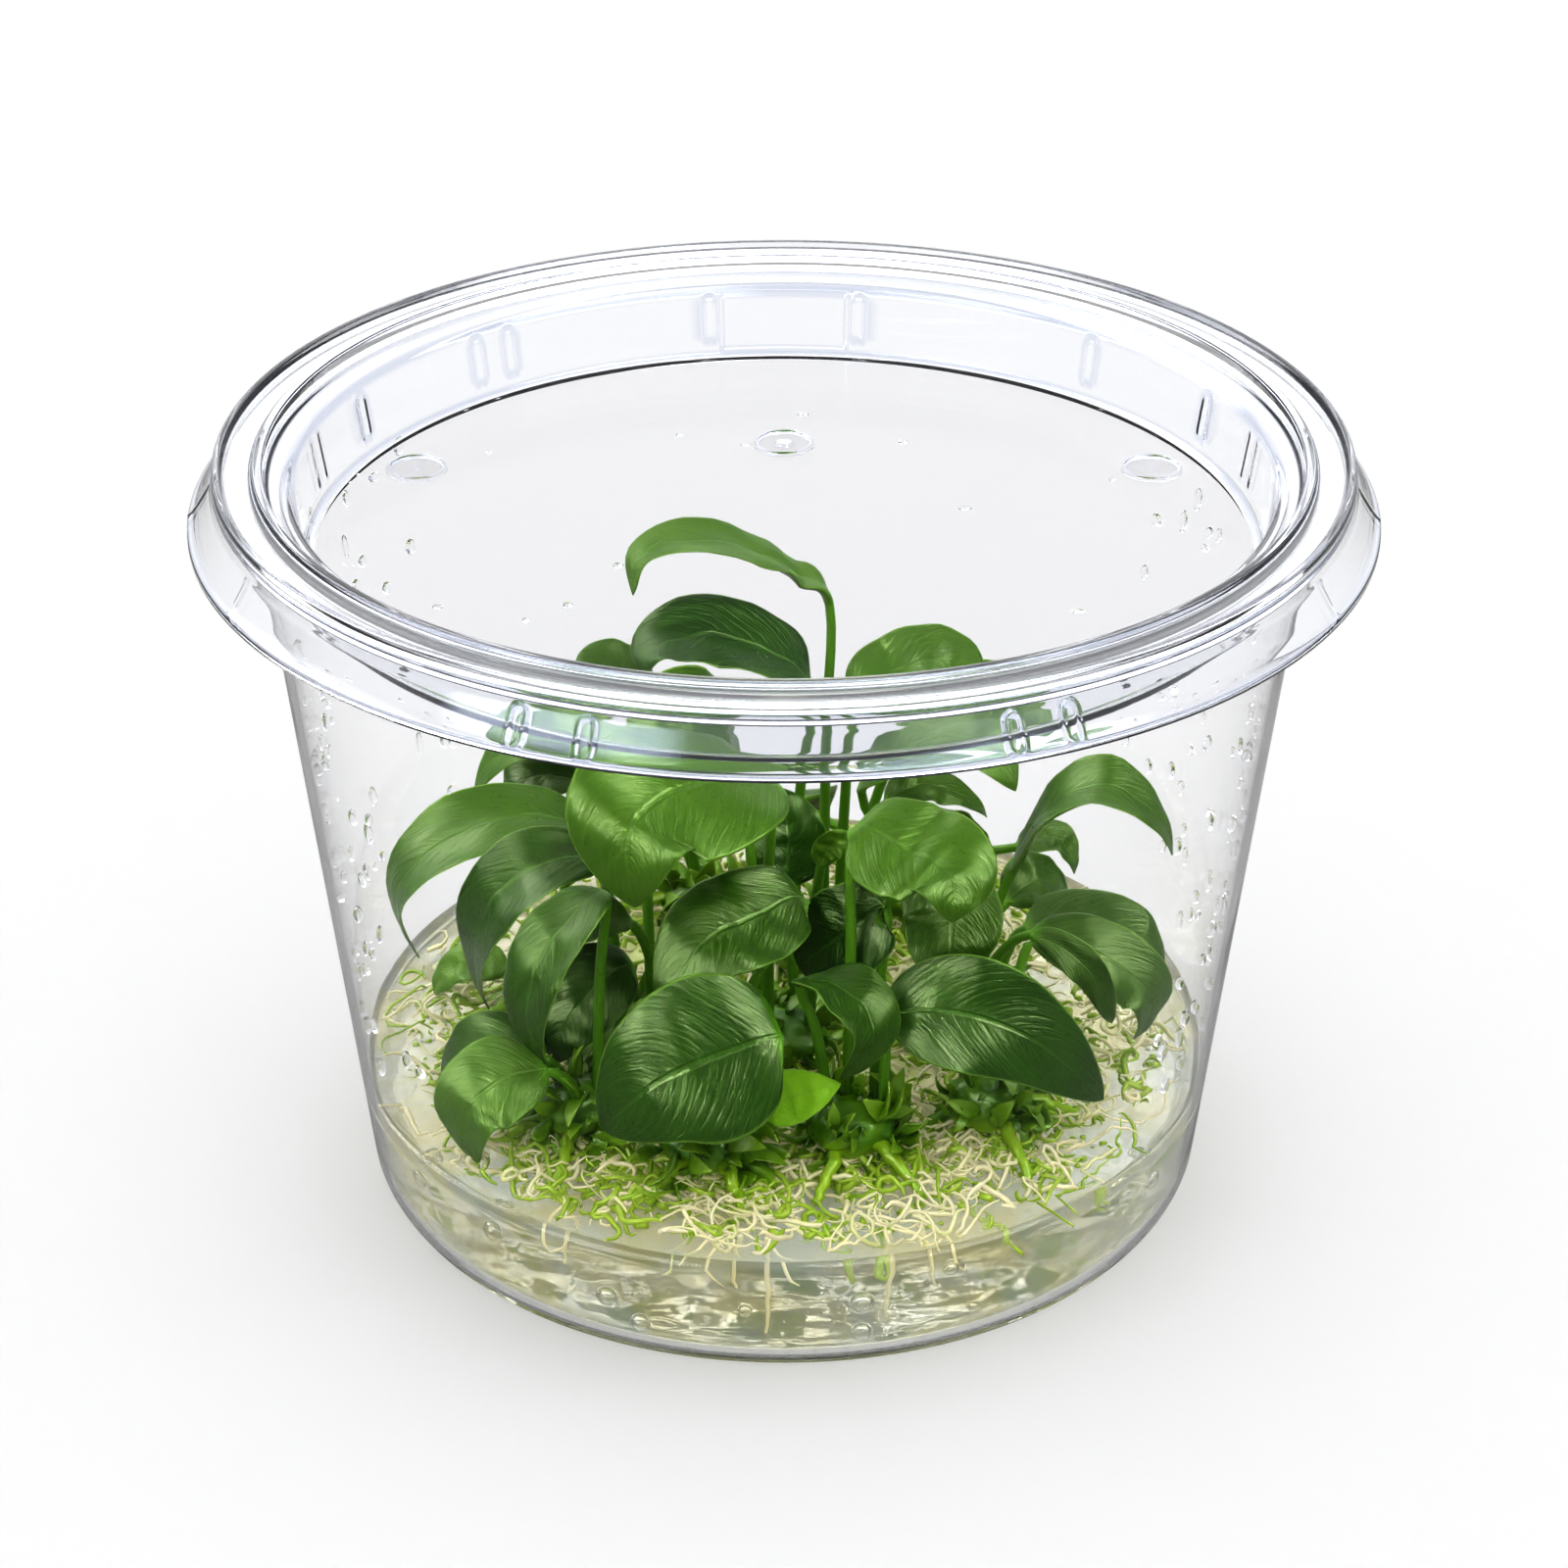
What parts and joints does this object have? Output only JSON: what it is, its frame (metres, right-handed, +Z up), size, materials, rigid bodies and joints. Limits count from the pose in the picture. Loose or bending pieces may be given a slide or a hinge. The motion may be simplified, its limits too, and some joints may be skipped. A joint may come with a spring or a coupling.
{
  "type": "potted aquarium plant in culture cup",
  "caption": "Dwarf broad-leaved water plant rooted in clear gel inside a clear round tapered culture cup with a press-on recessed lid.",
  "frame": {"origin": "middle of the cup's flat foot, on the surface it stands on", "axes": "+Z up through the lid, -Y towards the side the picture shows, +X to the picture's right"},
  "size_m": [0.11, 0.11, 0.0752],
  "materials": {
    "clear_plastic": "clear, glossy",
    "culture_gel": "clear soft gel, wet",
    "root": "pale cream roots",
    "crown": "green stem tissue",
    "leaf": "waxy dark green",
    "young_leaf": "waxy light green"
  },
  "bodies": {
    "root": {"cup": "clear_plastic", "lid": "clear_plastic", "gel": "culture_gel", "root_mat": "root", "crown_left": "crown", "crown_left_rear": "crown", "crown_far_left": "crown", "crown_middle": "crown", "crown_centre": "crown", "crown_front": "crown", "crown_right": "crown", "crown_right_rear": "crown", "crown_back": "crown", "crown_back_left": "crown", "crown_back_right": "crown", "leaf_top": "leaf", "leaf_high_left": "leaf", "leaf_high_far_left": "leaf", "leaf_high_right": "leaf", "leaf_veil_left": "leaf", "leaf_veil_mid": "leaf", "leaf_veil_right": "leaf", "leaf_veil_far_right": "leaf", "leaf_large": "leaf", "leaf_arch_left": "leaf", "leaf_low_back_left": "leaf", "leaf_mid_left_dark": "leaf", "leaf_mid_left": "leaf", "leaf_dark_left": "leaf", "leaf_low_left_rear": "leaf", "leaf_low_left": "leaf", "leaf_small_far_left": "leaf", "leaf_small_mid_left": "leaf", "leaf_centre": "leaf", "leaf_front": "leaf", "leaf_glossy": "leaf", "leaf_under_glossy": "leaf", "leaf_big_right": "leaf", "leaf_arch_right": "leaf", "leaf_thin_back": "leaf", "leaf_back_right_tip": "leaf", "leaf_grey_right": "leaf", "leaf_low_right_rear": "leaf", "leaf_low_right": "leaf", "leaf_narrow_right": "leaf", "leaf_centre_dark": "leaf", "leaf_curl": "leaf", "leaf_curl_tip": "young_leaf", "leaf_young": "leaf", "leaf_behind_centre": "leaf", "leaf_back_a": "leaf", "leaf_back_b": "leaf", "leaf_back_c": "leaf"}
  },
  "joints": []
}
